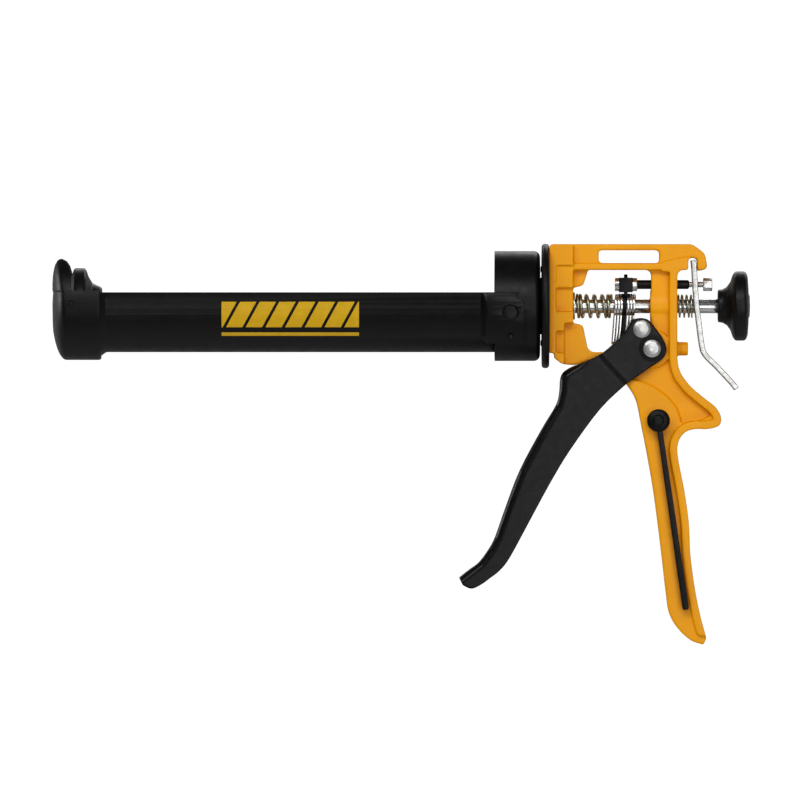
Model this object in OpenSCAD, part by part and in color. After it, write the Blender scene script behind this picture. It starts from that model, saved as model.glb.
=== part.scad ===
// Caulking gun with a rotating trough cradle, in millimetres.
// +X runs back along the push rod, +Z is up, and the origin is where the rod's axis
// leaves the front face of the handle frame.

/* [Cartridge and barrel] */
// Diameter of the cartridge that the cradle holds
cartridge_d = 47.6; // [40:0.2:60]
// Free space between the cartridge and the cradle, on the radius
cartridge_gap = 0.6; // [0.2:0.1:2]
// Thickness of the barrel's sheet steel
sheet_t = 1; // [0.8:0.1:1.6]
// Length of the barrel, from the back of the cup to the nose of the cap
barrel_l = 268.7; // [200:0.1:400]
// Height of the cradle's sides above the rod's axis
side_h = 7.4; // [3:0.1:12]
// Step from the cradle's outside to the rear cup's outside
cup_step = 4.85; // [3:0.05:8]
// Depth of the rear cup
cup_l = 25; // [18:0.5:40]
// Step from the cradle's outside to the front cap's outside
cap_step = 4.3; // [3:0.05:8]
// Depth of the front cap's straight wall
cap_l = 19.2; // [14:0.1:30]
// Depth of the front cap's domed nose
nose_l = 8.3; // [5:0.1:14]
// Radius of the nozzle slot in the front cap
nozzle_r = 12; // [9:0.5:15]

/* [Swivel] */
// Radius of the disc on the front of the frame
disc_r = 34.2; // [30:0.1:45]
// Thickness of the disc
disc_t = 4.1; // [2:0.1:8]
// Radius of the hollow hub that the cup turns on
hub_r = 8; // [7:0.5:10]
// Running clearance of turning and sliding parts, on the radius
run_gap = 0.05; // [0.02:0.01:0.1]
// Free space between the cup's back and the disc
swivel_gap = 0.9; // [0.6:0.1:2]

/* [Push rod] */
// Diameter of the push rod
rod_d = 8; // [6:0.5:9]
// Radius of the piston
piston_r = 20.9; // [16:0.1:22]
// Length of the piston, cone included
piston_l = 17.6; // [12:0.1:26]
// Free space between the piston and the nose of the cap
piston_gap = 10.4; // [8.5:0.1:20]
// Radius of the pull knob's rim
knob_r = 19.1; // [14:0.1:26]
// Length of the pull knob
knob_l = 17; // [12:0.5:30]
// Free space between the frame's rear face and the knob
knob_gap = 22.3; // [18:0.1:40]

/* [Frame] */
// Length of the frame along the rod, from front face to rear face
frame_l = 70.4; // [60:0.1:100]
// Thickness of the head wall at the front
head_t = 13.2; // [10:0.1:20]
// Width of the head
head_w = 27; // [24:0.5:40]
// Thickness of the rear wall
rear_t = 14.3; // [10:0.1:20]
// Height of the top bar's upper face above the rod's axis
top_z = 34; // [30:0.1:50]
// Depth of the top bar
bar_h = 14.2; // [10:0.1:16]
// Width of the top bar's flat sides
bar_w = 20; // [16:0.5:22]
// Width of the webs between the trigger's arms
web_w = 15; // [12:0.5:17]
// Width of the grip's flat sides
grip_w = 19; // [17.5:0.5:21]
// Width over the raised rims along the bar, the rear wall and the grip
rim_w = 23; // [22:0.5:26]

/* [Trigger] */
// Distance of the trigger's pivot in front of the frame's rear face
pivot_back = 14; // [12:0.1:18]
// Distance of the trigger's pivot below the rod's axis
pivot_drop = 23.4; // [20:0.1:30]
// Thickness of the trigger's sheet steel
trigger_t = 2; // [1.5:0.1:2.4]
// Free space between the grip and the trigger's arms, on each side
arm_gap = 0.5; // [0.3:0.1:1]
// Diameter of the trigger's pivot rivet
pivot_d = 6; // [4:0.5:8]
// Diameter of the drive pin
drive_pin_d = 4; // [3:0.5:5]
// Radius of the roller on the drive pin
roller_r = 3.5; // [2.8:0.1:3.6]

/* [Drive] */
// Thickness of one drive plate
plate_t = 1.5; // [1:0.1:1.7]
// Number of drive plates in each stack
plate_n = 3; // [2:1:3]
// Thickness of the carrier plate between the stacks
carrier_t = 1.9; // [1.5:0.1:2.5]
// Lean of the drive plates on the rod, in degrees
plate_lean = 4.5; // [3:0.5:6]
// Diameter of the guide rod
guide_d = 5; // [4:0.5:6]
// Height of the guide rod above the push rod's axis
guide_z = 11.8; // [10:0.1:14]

/* [Springs and release lever] */
// Outside diameter of the drive spring
drive_spring_d = 13.8; // [12:0.1:15]
// Wire diameter of the drive spring
drive_wire_d = 1.65; // [1:0.05:2]
// Outside diameter of the lever spring
lever_spring_d = 13.2; // [11:0.1:15]
// Wire diameter of the lever spring
lever_wire_d = 0.9; // [0.6:0.05:1.4]
// Thickness of the release lever
lever_t = 3; // [2:0.1:3.4]
// Width of the release lever
lever_w = 15; // [13:0.5:20]

/* [Seal pin] */
// Length of the seal pin, from its pivot to its tip
pin_l = 105; // [60:1:112]
// Radius of the seal pin's round head
pin_head_r = 6.3; // [4:0.1:8]
// Thickness of the seal pin
pin_t = 3; // [2:0.1:4]

/* [Hidden] */
$fn = 64;

// Joining overlap and cutting margin
eps = 0.01;
over = 1;

// Barrel
cradle_ri = cartridge_d / 2 + cartridge_gap;
cradle_ro = cradle_ri + sheet_t;
cup_ro = cradle_ro + cup_step;
cap_ro = cradle_ro + cap_step;
cup_back_x = -disc_t - swivel_gap;
cup_mouth_x = cup_back_x - cup_l;
nub_a = 24.2;
cup_round = 3.4;
washer_r = 15.6;
cap_t = 1.2;
claw_bend = 8.5;
claw_root = 3;
nose_x = cup_back_x - barrel_l;
cap_wall_x = nose_x + nose_l;
cap_mouth_x = cap_wall_x + cap_l;
collar_ro = cap_ro - cap_t - 0.02;
collar_x0 = cap_wall_x + 0.4;
collar_x = cap_mouth_x - 2.2;
flare_l = 4;
tab_x0 = cup_mouth_x - 3.5;
tab_l = 19.8;
tab_low = -42;
rivet_x = cup_back_x - 16.4;
rivet_z = -3.8;
rivet_low_z = -17;
rivet_front_x = cap_wall_x + 3;
rivet_front_z = 1.1;

// Rod
rod_r = rod_d / 2;
rod_hole_r = rod_r + run_gap;
piston_x = nose_x + piston_gap;
rod_front_x = piston_x - 2.6;
knob_x = frame_l + knob_gap;
rod_back_x = knob_x + knob_l * 0.7;
bush_t = 2;
bush_r = rod_hole_r + bush_t;
ring_r = hub_r + 5;
ring_t = 2.4;
ring_x = cup_back_x - sheet_t - 0.4 - ring_t;
hub_in = 8;

// Frame
bar_z = top_z - bar_h;
window_x0 = head_t;
window_x1 = frame_l - rear_t;
pivot = [frame_l - pivot_back, -pivot_drop];
lip_z = pivot[1] - 9.2;
slot_x0 = window_x0 + 14;
slot_x1 = window_x1 + 4.4;
slot_z0 = bar_z + 3.8;
slot_h = 7.1;
hook_x = frame_l + 6;
hook_slot_w = 5;
band_t = 4.4;
flange_t = 3.6;
head_step = 1.3;
rear_boss_r = 8.7;
rear_boss_out = 0.6;
pivot_boss_r = 10.6;

// Trigger
arm_y = grip_w / 2 + arm_gap;
wide_y = arm_y + 1.2;
drive_pin_at = [-5.5, 10.75];
head_h = 2;

// Drive
stack_t = plate_t * plate_n + 0.1 * (plate_n - 1);
lean_x = pivot[0] - 15.2;
lean_z = 7.15;
plate_low_z = -21.5;
plate_head_r = 6.8;
tail_w = 9;
plate_hole_r = rod_r + 0.35;
guide_r = guide_d / 2;
guide_x1 = frame_l + 6.6;
screw_r = 1.5;
bush_x0 = lean_x - 5;
bush_x1 = lean_x + 7.2;

// Springs
washer_t = 1;
drive_spring_x0 = head_t + washer_t;
drive_spring_x1 = lean_x - stack_t - 1.4;
lever_spring_x1 = frame_l + 8.6;

// Seal pin
pin_at = [pivot[0] + 3.5, pivot[1] - 39.6];
pin_y = rim_w / 2 + 0.2;
pin_angle = 8.3;
pin_rivet_r = 2;
pin_root = 1.5;

// ---- helpers -------------------------------------------------------------

function unit(v) = v / norm(v);

// One rounded corner at b, between the sides to a and to c
function corner(a, b, c, r, n = 6) =
    let (u = unit(a - b), v = unit(c - b), half = acos(max(-1, min(1, u * v))) / 2)
    let (mid = b + unit(u + v) * r / sin(half), from = b + u * r / tan(half) - mid)
    let (to = b + v * r / tan(half) - mid, a0 = atan2(from[1], from[0]))
    let (turn = atan2(to[1], to[0]) - a0)
    let (sweep = turn > 180 ? turn - 360 : turn < -180 ? turn + 360 : turn)
    [for (i = [0 : n]) mid + r * [cos(a0 + sweep * i / n), sin(a0 + sweep * i / n)]];

// An outline of [x, z, corner radius] points, with its corners rounded
function rounded(ps) = let (k = len(ps)) [
    for (i = [0 : k - 1])
        let (p = ps[i], a = ps[(i + k - 1) % k], c = ps[(i + 1) % k])
        each p[2] == 0 ? [[p[0], p[1]]]
            : corner([a[0], a[1]], [p[0], p[1]], [c[0], c[1]], p[2])
];

// A smooth curve through the points ps, with n steps between neighbours
function curve(ps, n = 4) = let (k = len(ps) - 1) [
    for (i = [0 : k - 1], j = [0 : n - 1])
        let (a = ps[max(i - 1, 0)], b = ps[i], c = ps[i + 1], d = ps[min(i + 2, k)], t = j / n)
        0.5 * (2 * b + t * (c - a) + t * t * (2 * a - 5 * b + 4 * c - d)
            + t * t * t * (3 * b - a - 3 * c + d)),
    ps[k]
];

// A strip of width w along the open path ps
function strip(ps, w) = let (k = len(ps) - 1)
    let (side = [for (i = [0 : k])
        let (d = unit(ps[min(i + 1, k)] - ps[max(i - 1, 0)])) [-d[1], d[0]] * w / 2])
    concat([for (i = [0 : k]) ps[i] + side[i]], [for (i = [k : -1 : 0]) ps[i] - side[i]]);

// The points ps as [x, z, corner radius] points with no rounding
function sharp(ps) = [for (p = ps) [p[0], p[1], 0]];

function from_pivot(ps) = [for (p = ps) [p[0] + pivot[0], p[1] + pivot[1]]];

// The outline on the XZ plane, as thick as w, centred on the middle plane
module across(w) { rotate([90, 0, 0]) linear_extrude(w, center = true) children(); }

// The outline on the XZ plane, from y0 to y1
module between(y0, y1) {
    translate([0, y1, 0]) rotate([90, 0, 0]) linear_extrude(y1 - y0) children();
}

module along(x0, x1, r) { translate([x0, 0, 0]) rotate([0, 90, 0]) cylinder(h = x1 - x0, r = r); }

module cross(at, w, r) {
    translate([at[0], 0, at[1]]) rotate([90, 0, 0]) cylinder(h = w, r = r, center = true);
}

// Points [x, radius] turned about the rod's axis
module turned(ps) {
    rotate([0, 90, 0]) rotate_extrude($fn = 96) polygon([for (p = ps) [p[1], p[0]]]);
}

module both_sides() {
    children();
    mirror([0, 1, 0]) children();
}

// A wire wound about the rod's axis, closed up at both ends
module wound(x0, x1, d, wire, turns, closed) {
    steps = 18;
    sides = 8;
    total = turns + 2 * closed;
    pitch = (x1 - x0 - wire - 2 * closed * wire * 1.03) / turns;
    function at(t) = t < closed ? t * wire * 1.03
        : t > total - closed ? x1 - x0 - wire - (total - t) * wire * 1.03
        : closed * wire * 1.03 + (t - closed) * pitch;
    count = round(total * steps);
    points = [
        for (i = [0 : count], s = [0 : sides - 1])
            let (t = i * total / count, a = 360 * t, q = 360 * s / sides)
            let (r = (d - wire) / 2 + wire / 2 * cos(q))
            [x0 + wire / 2 + at(t) + wire / 2 * sin(q), r * cos(a), r * sin(a)]
    ];
    faces = concat(
        [[for (s = [0 : sides - 1]) s]],
        [for (i = [0 : count - 1], s = [0 : sides - 1]) each
            let (a = i * sides + s, b = i * sides + (s + 1) % sides)
            [[a, a + sides, b + sides], [a, b + sides, b]]],
        [[for (s = [sides - 1 : -1 : 0]) count * sides + s]]
    );
    polyhedron(points, faces);
}

// ---- handle frame --------------------------------------------------------

module frame_outline() {
    rear = curve([for (p = [
        [0, 0], [1.6, -7.3], [7.1, -15], [14.8, -21.6], [20.9, -26.5], [24, -32], [22.9, -36.8],
        [16.6, -38.7], [9.9, -38.7], [4.1, -40.6], [0.5, -46], [0.3, -54], [3.8, -72.2],
        [6.3, -90], [7.2, -108], [9.6, -126], [12.6, -141], [16, -153.5]
    ]) [frame_l + p[0], pivot[1] - 5.6 + p[1]]]);
    front = curve(from_pivot([
        [28.4, -162.8], [21.2, -160.3], [14.1, -153.6], [9.6, -145.6], [7.9, -135.6],
        [5.7, -116.3], [3.2, -95.6], [0.6, -76.6], [-2.8, -57.1], [-5.8, -42], [-8.8, -28.1],
        [-14, -19.5]
    ]));
    polygon(rounded(concat(
        [
            [0, lip_z + 6.7, 0.5], [0, top_z, 2], [frame_l + 8.3, top_z, 6],
            [frame_l + 15.2, top_z - 5.2, 5], [frame_l + 16.8, bar_z + 0.4, 2.4],
            [hook_x + hook_slot_w, bar_z - 0.6, 0.6], [hook_x + hook_slot_w, bar_z + 6.6, 1.8],
            [hook_x, bar_z + 6.6, 1.8], [hook_x, bar_z, 0.6], [frame_l, bar_z, 3.5]
        ],
        sharp(rear),
        sharp(front),
        [
            [pivot[0] - 26, pivot[1] - 12, 8], [head_t + 10.4, lip_z + 3.2, 3],
            [head_t + 1, lip_z, 5], [head_t - 6, lip_z + 0.6, 4], [2.8, lip_z + 4, 1],
            [2.8, lip_z + 6.7, 0]
        ]
    )));
}

module window_outline() {
    polygon(rounded([
        [window_x0 + 8.3, bar_z, 0.8], [window_x0 + 5.5, 11.2, 2.5], [window_x0, 9.9, 0.8],
        [window_x0, -9.4, 0.8], [window_x0 + 5.3, -10.4, 2.5],
        [window_x0 + 8.4, lip_z + 7.3, 4], [pivot[0] - 9.6, lip_z + 7.3, 2],
        [pivot[0] - 6.8, pivot[1] + 4.8, 2], [pivot[0] - 1.4, pivot[1] + 8.8, 2],
        [window_x1, pivot[1] + 11, 0.8], [window_x1, bar_z, 3]
    ]));
}

module slot_outline() {
    polygon(rounded([
        [slot_x0, slot_z0, 1.7], [slot_x1, slot_z0, 1.7],
        [slot_x1, slot_z0 + slot_h, 1.7], [slot_x0, slot_z0 + slot_h, 1.7]
    ]));
}

// The grip's sides, below the step that curves under the pivot, and the pivot's boss
module grip_region() {
    polygon(curve(from_pivot([
        [-26, -12], [-20, -13.6], [-14, -15.6], [-9.1, -17.3], [-3.6, -19], [1.9, -21.7],
        [6.3, -24.8], [10.2, -28.3], [13.5, -32.7], [15.7, -38.2], [20, -41.5], [60, -44],
        [60, -200], [-26, -200]
    ])));
    translate(pivot) circle(pivot_boss_r);
}

// The raised rim along the bar's lower edge, the rear wall, the horn and the grip
module rim_region() {
    translate([window_x0, bar_z]) square([frame_l - window_x0, slot_z0 - bar_z - 0.4]);
    polygon([
        [window_x1 + 6, bar_z + band_t], [hook_x + 1, bar_z + 7.6], [hook_x + 1, bar_z - over],
        [window_x1 + 6, bar_z - over]
    ]);
    difference() {
        polygon(from_pivot([
            [8, 45], [8, -14], [10, -30], [13, -40], [9, -48], [9, -60], [10, -90], [13, -120],
            [20, -150], [26, -158], [60, -158], [60, -4], [16.5, -4], [16.5, 45]
        ]));
        offset(delta = -band_t) frame_outline();
    }
}

module bar_region() {
    translate([-over, bar_z]) square([frame_l + 30, bar_h + over]);
}

module head_region() {
    translate([-over, -9.4]) square([head_t + over, top_z + 12]);
    translate([-over, lip_z - over]) square([head_t - 5 + over, top_z]);
}

// Pockets in the sides of the head, behind its front flange
module pockets() {
    translate([flange_t, -3.3]) square([head_t, 13.2]);
    translate([flange_t, -25.8]) square([head_t, 12]);
}

// The frame's section at the distance y from its middle plane
module frame_section(y) {
    offset(delta = 0) difference() {
        intersection() {
            frame_outline();
            union() {
                if (y < web_w / 2) translate([-50, -300]) square(400);
                if (y < bar_w / 2) bar_region();
                if (y < grip_w / 2) grip_region();
                if (y < head_w / 2) head_region();
                if (y < rim_w / 2) rim_region();
            }
        }
        window_outline();
        slot_outline();
        if (y > bar_w / 2 - eps) pockets();
        if (y > head_w / 2 - head_step - eps) translate([flange_t, 9.9]) square([head_t, 12.4]);
    }
}

function sorted(v) = len(v) < 2 ? v : let (m = min(v))
    concat([m], sorted([for (a = v) if (a > m + eps) a]));

module handle_frame() {
    levels = sorted([web_w, bar_w, grip_w, head_w - 2 * head_step, head_w, rim_w] / 2);
    color("orange") difference() {
        union() {
            across(2 * levels[0]) frame_section(0);
            for (i = [1 : len(levels) - 1])
                both_sides() between(levels[i - 1], levels[i]) frame_section(levels[i - 1]);
            // Stop stud for the release lever, then the boss round the rear bush
            translate([0, 0, pivot[1] - 0.1]) along(frame_l - 4, frame_l + 6, 3.8);
            along(window_x1 - rear_boss_out, frame_l - 1, rear_boss_r);
            // Boss that the seal pin folds on
            translate([pin_at[0], 0.1 - pin_y, pin_at[1]]) rotate([-90, 0, 0])
                cylinder(h = pin_y - web_w / 2, r = pin_head_r - 0.3);
        }
        along(-over, head_t + over, bush_r);
        along(-over, hub_in, hub_r);
        along(window_x1 - 2, frame_l + over, bush_r);
        translate([0, 0, guide_z]) along(window_x1 - over, frame_l + over, guide_r);
        cross(pivot, rim_w, pivot_d / 2 + run_gap);
        translate([pin_at[0], -pin_y - over, pin_at[1]]) rotate([-90, 0, 0])
            cylinder(h = pin_y + over - pin_root, r = pin_rivet_r);
    }
}

// ---- swivel and bushes ---------------------------------------------------

module swivel_disc() {
    color("dimgray") difference() {
        union() {
            turned([
                [-disc_t, 0], [-disc_t, disc_r - 1], [-disc_t + 1, disc_r], [-1, disc_r],
                [0, disc_r - 1], [0, 0]
            ]);
            // Stop nubs in front of the disc
            for (a = [-nub_a, nub_a, 180 - nub_a, 180 + nub_a])
                rotate([a, 0, 0]) translate([0, 0, cup_ro - 8])
                    along(cup_back_x + 0.35, -disc_t + eps, 1.6);
        }
        along(-disc_t - over, over, hub_r);
    }
}

module swivel_hub() {
    color("silver") difference() {
        along(ring_x - 0.8, hub_in, hub_r);
        along(ring_x - 2, hub_in + over, bush_r);
    }
}

module hub_ring() {
    color("silver") difference() {
        translate([ring_x, 0, 0]) rotate([0, 90, 0]) cylinder(h = ring_t, r = ring_r, $fn = 6);
        along(ring_x - over, ring_x + ring_t + over, hub_r);
    }
}

module thrust_washer() {
    color("dimgray") difference() {
        along(cup_back_x, -disc_t - 0.1, washer_r);
        along(cup_back_x - over, 0, hub_r + run_gap);
    }
}

// The bush runs from inside the hub's nose to the window
module front_bush() {
    color("darkkhaki") difference() {
        along(ring_x - 0.8, head_t, bush_r);
        along(ring_x - 2, head_t + over, rod_hole_r);
    }
}

module rear_bush() {
    color("darkkhaki") difference() {
        along(window_x1 - rear_boss_out, frame_l, bush_r);
        along(window_x1 - 2, frame_l + over, rod_hole_r);
    }
}

// ---- barrel --------------------------------------------------------------

module rear_cup() {
    color("dimgray") difference() {
        turned(rounded([
            [cup_mouth_x, cup_ro, 0.3], [cup_back_x, cup_ro, cup_round],
            [cup_back_x, hub_r + run_gap, 0], [cup_back_x - sheet_t, hub_r + run_gap, 0],
            [cup_back_x - sheet_t, cup_ro - sheet_t, cup_round - sheet_t],
            [cup_mouth_x, cup_ro - sheet_t, 0.3]
        ]));
        rivet_holes();
    }
}

module rivet_holes() {
    both_sides() {
        translate([rivet_x, 0, rivet_z]) rotate([-90, 0, 0]) cylinder(h = 60, r = 2);
        translate([rivet_x, 0, rivet_low_z]) rotate([-90, 0, 0]) cylinder(h = 60, r = 1.2);
    }
}

module front_rivet_holes() {
    both_sides() translate([rivet_front_x, 0, rivet_front_z]) rotate([-90, 0, 0])
        cylinder(h = 60, r = 1.2);
}

// The part of space from x0 to x1 and below the height z
module below(x0, x1, z) { translate([x0, -100, -100]) cube([x1 - x0, 200, 100 + z]); }

// The trough's section: a half round with upright sides
module trough(x0, x1) {
    arc = [for (i = [0 : 48]) let (a = 180 + 180 * i / 48) [cos(a), sin(a)]];
    translate([x0, 0, 0]) rotate([90, 0, 90]) linear_extrude(x1 - x0) polygon(concat(
        [[-cradle_ro, side_h]], cradle_ro * arc, [[cradle_ro, side_h], [cradle_ri, side_h]],
        [for (i = [48 : -1 : 0]) cradle_ri * arc[i]], [[-cradle_ri, side_h]]
    ));
}

// Side tabs that lie on the outside of the cup, between two angles from level
module side_tab() {
    both_sides() intersection() {
        turned([
            [tab_x0 - flare_l, cradle_ri + 0.2], [tab_x0, cup_ro],
            [tab_x0 + tab_l, cup_ro], [tab_x0 + tab_l, cup_ro + sheet_t],
            [tab_x0 - 0.6, cup_ro + sheet_t], [tab_x0 - flare_l - 0.4, cradle_ri + 0.7]
        ]);
        rotate([tab_low, 0, 0]) translate([tab_x0 - tab_l, 0, 0]) cube([80, 60, 60]);
        difference() {
            below(tab_x0 - tab_l, tab_x0 + 2 * tab_l, side_h);
            translate([tab_x0 + tab_l, 0, side_h]) rotate([0, 32, 0])
                cube([5, 100, 9], center = true);
        }
    }
}

module cradle() {
    trough_x0 = cap_mouth_x + 2.5;
    color("dimgray") difference() {
        union() {
            trough(trough_x0, tab_x0 + 12);
            side_tab();
            // Flared collar that lies inside the front cap
            intersection() {
                turned([
                    [collar_x0, collar_ro - sheet_t], [collar_x, collar_ro - sheet_t],
                    [trough_x0 + 0.6, cradle_ri - 0.2], [trough_x0 + 0.6, cradle_ro - 0.2],
                    [collar_x + 0.6, collar_ro], [collar_x0, collar_ro]
                ]);
                below(nose_x, trough_x0 + 2, side_h);
            }
        }
        rivet_holes();
        front_rivet_holes();
    }
}

// The front cap's domed half section: n points from the nose to the wall
function dome(r, depth, n = 14) =
    [for (i = [0 : n]) [cap_wall_x - depth * cos(90 * i / n), r * sin(90 * i / n)]];

module cap_shell() {
    inner = dome(cap_ro - cap_t, nose_l - cap_t);
    turned(concat(
        dome(cap_ro, nose_l),
        [[cap_mouth_x - 1, cap_ro], [cap_mouth_x, cap_ro - 0.6], [cap_mouth_x, cap_ro - cap_t]],
        [for (i = [len(inner) - 1 : -1 : 0]) inner[i]]
    ));
}

module front_cap() {
    cut_z = side_h + 0.9;
    color("dimgray") difference() {
        union() {
            intersection() {
                cap_shell();
                below(nose_x - over, cap_mouth_x + over, cut_z);
            }
            // Two claws stand up in front of the cartridge, bent forward out of the dome
            intersection() {
                translate([cap_wall_x, 0, cut_z - claw_root]) rotate([0, -claw_bend, 0])
                    translate([-cap_wall_x, 0, claw_root - cut_z]) cap_shell();
                across(100) translate([cap_wall_x, cut_z]) polygon([
                    [-20, -0.3], [3.1, -0.3], [3, 6], [2.6, 10.6], [1.6, 14], [0, 16.4], [-2, 17.6],
                    [-20, 17.8]
                ]);
            }
        }
        // Slot for the cartridge's nozzle, open at the top
        translate([nose_x - 3, 0, 0]) rotate([90, 0, 90]) linear_extrude(cap_l + nose_l) {
            translate([0, -1]) circle(nozzle_r);
            polygon([
                [-nozzle_r, -1], [nozzle_r, -1], [nozzle_r + 2.3, cap_ro + over],
                [-nozzle_r - 2.3, cap_ro + over]
            ]);
        }
        front_rivet_holes();
    }
}

module rear_rivets() {
    color("dimgray") both_sides() {
        translate([rivet_x, 0, rivet_z]) rotate([-90, 0, 0]) {
            translate([0, 0, cup_ro - 3]) cylinder(h = 4.4, r = 2);
            translate([0, 0, cup_ro + sheet_t]) cylinder(h = 1, r1 = 4.6, r2 = 3.4);
            translate([0, 0, cup_ro - 3.2]) cylinder(h = 1, r = 3);
        }
        translate([rivet_x, 0, rivet_low_z]) rotate([-90, 0, 0])
            translate([0, 0, cup_ro - 8]) cylinder(h = 5.9, r = 1.2);
    }
}

module front_rivets() {
    color("dimgray") both_sides() translate([rivet_front_x, 0, rivet_front_z]) rotate([-90, 0, 0]) {
        translate([0, 0, collar_ro - sheet_t - 1]) cylinder(h = sheet_t + cap_t + 1.2, r = 1.2);
        translate([0, 0, cap_ro]) cylinder(h = 0.8, r1 = 2, r2 = 1.3);
        translate([0, 0, collar_ro - sheet_t - 1.4]) cylinder(h = 0.8, r = 2);
    }
}

// ---- push rod, piston and knob -------------------------------------------

module push_rod() {
    color("lightgray") turned([
        [rod_front_x, 0], [rod_front_x, rod_r - 1.4], [piston_x + 5, rod_r - 1.4],
        [piston_x + 5, rod_r], [rod_back_x, rod_r], [rod_back_x, 0]
    ]);
}

module piston() {
    color("dimgray") difference() {
        turned([
            [piston_x, 0], [piston_x, piston_r - 5.6], [piston_x + 2, piston_r - 0.8],
            [piston_x + 2.8, piston_r], [piston_x + 7.8, piston_r],
            [piston_x + 9, piston_r - 1.4], [piston_x + 10, piston_r - 4.6],
            [piston_x + 12.2, 12.6], [piston_x + piston_l - 1, 10.6],
            [piston_x + piston_l, 9.6], [piston_x + piston_l, 0]
        ]);
        along(piston_x - over, piston_x + 6, rod_r - 1.4);
        along(piston_x + 5, piston_x + piston_l + over, rod_r);
        // Hollow back of the pressing
        turned([
            [piston_x + 6.4, 6.4], [piston_x + 6.4, piston_r - 2],
            [piston_x + 7.8 + over, piston_r - 2], [piston_x + 9, piston_r - 3.6],
            [piston_x + 10.2, piston_r - 7], [piston_x + 12.2, 10.4],
            [piston_x + piston_l + over, 8.4], [piston_x + piston_l + over, 6.4]
        ]);
    }
}

module piston_washer() {
    color("silver") difference() {
        along(piston_x - 0.9, piston_x, 7);
        along(piston_x - 2, piston_x + over, rod_r - 1.4);
    }
}

module piston_nut() {
    color("silver") difference() {
        translate([piston_x - 2.6, 0, 0]) rotate([0, 90, 0]) cylinder(h = 1.7, r = 5.2, $fn = 6);
        along(piston_x - 4, piston_x, rod_r - 1.4);
    }
}

module pull_knob() {
    rim = knob_x + knob_l * 0.57;
    color("dimgray") difference() {
        turned([
            [knob_x, 0], [knob_x, 8.6], [knob_x + 0.5, 9.1], [knob_x + 2.4, 9.1],
            [knob_x + 5, 10.6], [knob_x + 7, 13.4], [knob_x + 8, 16.6], [rim - 0.8, knob_r - 0.9],
            [rim + 0.2, knob_r], [rim + 5, knob_r], [knob_x + knob_l - 1.3, knob_r - 0.9],
            [knob_x + knob_l - 0.5, knob_r - 3], [knob_x + knob_l, 9], [knob_x + knob_l, 0]
        ]);
        along(knob_x - over, rod_back_x, rod_r);
        along(knob_x + knob_l - 1.5, knob_x + knob_l + over, 7);
    }
}

module knob_cap() {
    color("black") turned([
        [knob_x + knob_l - 1.5, 0], [knob_x + knob_l - 1.5, 7], [knob_x + knob_l, 7],
        [knob_x + knob_l + 0.6, 5.6], [knob_x + knob_l + 0.8, 0]
    ]);
}

// ---- trigger -------------------------------------------------------------

module trigger_outline() {
    front = curve(from_pivot([
        [-10.7, 16.2], [-15.8, 8], [-21.8, 2], [-27.6, -2.6], [-37, -7.3], [-44.6, -10.3],
        [-48.9, -13.4], [-50.4, -17.4], [-50.8, -23.5], [-52.6, -31], [-60.8, -44.8],
        [-72.6, -67], [-80.6, -87.8], [-86.2, -103.7], [-89.7, -110.3], [-95, -117.5],
        [-101, -122], [-106, -126]
    ]));
    back = curve(from_pivot([
        [-104, -130], [-99.4, -132], [-94.4, -130.1], [-88.9, -126.2], [-83.4, -121.8],
        [-77.9, -114.6], [-66.9, -94.3], [-55.9, -74], [-44.9, -55.8], [-28.4, -33.3],
        [-14, -19.5]
    ]));
    head = curve(from_pivot([
        [5.2, -6.3], [7.6, -3], [7.9, 0.8], [5.8, 5.8], [1.9, 11.3], [-1.9, 15.7], [-5.8, 16.8],
        [-9.1, 16.4]
    ]));
    polygon(concat(front, back, head));
}

// Everything below the step where the trigger's sides draw in to become its arms
module below_step(shift) {
    polygon(from_pivot([
        [-31.5 - shift, 1], [-11.5 - shift, -21], [20, -60], [20, -200], [-200, -200], [-200, 1]
    ]));
}

module trigger() {
    wall = trigger_t;
    color("dimgray") difference() {
        union() {
            both_sides() {
                between(arm_y, arm_y + wall) difference() {
                    trigger_outline();
                    below_step(2.4);
                }
                between(wide_y, wide_y + wall) intersection() {
                    trigger_outline();
                    below_step(0);
                }
            }
            // Front web that joins the two sides
            between(-wide_y - wall, wide_y + wall) intersection() {
                difference() {
                    trigger_outline();
                    translate([wall * 0.97, -wall * 0.52]) trigger_outline();
                }
                translate([pivot[0] - 120, pivot[1] - 140]) square([73.6, 128.6]);
            }
        }
        cross(pivot, 60, pivot_d / 2 + 0.35);
        cross(pivot + drive_pin_at, 60, drive_pin_d / 2);
    }
}

module rivet_head(at, y, r, h) {
    translate([at[0], 0, at[1]]) both_sides() rotate([-90, 0, 0]) translate([0, 0, y]) {
        cylinder(h = h * 0.45, r = r);
        translate([0, 0, h * 0.45]) cylinder(h = h * 0.35, r1 = r, r2 = r * 0.72);
        translate([0, 0, h * 0.8]) cylinder(h = h * 0.2, r1 = r * 0.72, r2 = r * 0.3);
    }
}

module trigger_pivot() {
    color("silver") union() {
        cross(pivot, 2 * (arm_y + trigger_t + 1), pivot_d / 2);
        rivet_head(pivot, arm_y + trigger_t + 0.8, 4.9, head_h);
    }
}

module pivot_rings() {
    color("black") both_sides() translate([pivot[0], 0, pivot[1]]) rotate([-90, 0, 0])
        translate([0, 0, arm_y + trigger_t]) difference() {
            cylinder(h = 0.7, r = 7.1);
            translate([0, 0, -over]) cylinder(h = 3, r = pivot_d / 2 + 0.35);
        }
}

module drive_pin() {
    color("silver") union() {
        cross(pivot + drive_pin_at, 2 * (arm_y + trigger_t) + 0.2, drive_pin_d / 2);
        rivet_head(pivot + drive_pin_at, arm_y + trigger_t, 4.9, head_h);
    }
}

module drive_roller() {
    color("silver") difference() {
        cross(pivot + drive_pin_at, 2 * arm_y - 0.4, roller_r);
        cross(pivot + drive_pin_at, 2 * arm_y + over, drive_pin_d / 2);
    }
}

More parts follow.
